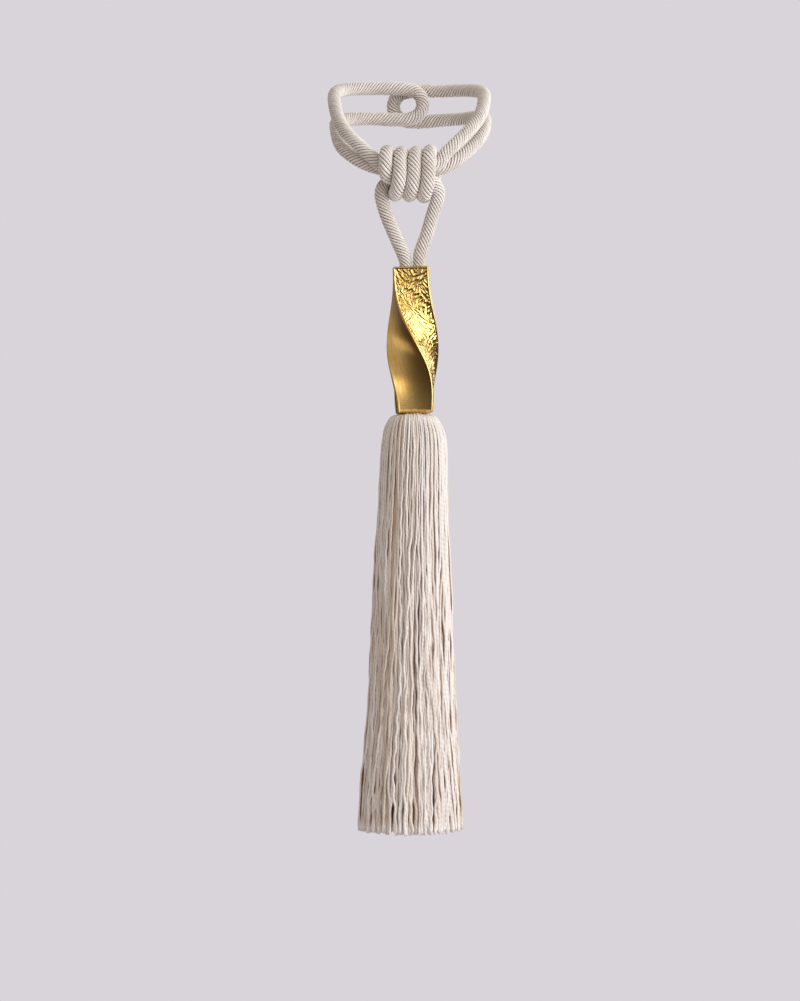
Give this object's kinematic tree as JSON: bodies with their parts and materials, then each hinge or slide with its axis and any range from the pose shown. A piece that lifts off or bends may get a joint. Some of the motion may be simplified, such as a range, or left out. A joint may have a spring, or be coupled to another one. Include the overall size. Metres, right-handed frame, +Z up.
{
  "type": "curtain tieback tassel",
  "caption": "Ivory twisted-cord curtain tieback with a wound knot, a twisted square gold head and a long yarn tassel, hung at a wall hook.",
  "frame": {"origin": "the wall hook's place, in the middle of the eye that the tieback's two end loops make behind the curtain", "axes": "+Z up along the hanging tassel, front (the wound knot) towards -Y, +X to the viewer's right"},
  "size_m": [0.0973, 0.107, 0.4454],
  "materials": {
    "cord": "matte",
    "gold": "polished",
    "yarn": "matte"
  },
  "bodies": {
    "root": {"tieback_rope": "cord", "tassel_rope": "cord", "tassel_head": "gold", "tassel_skirt": "yarn"}
  },
  "joints": []
}
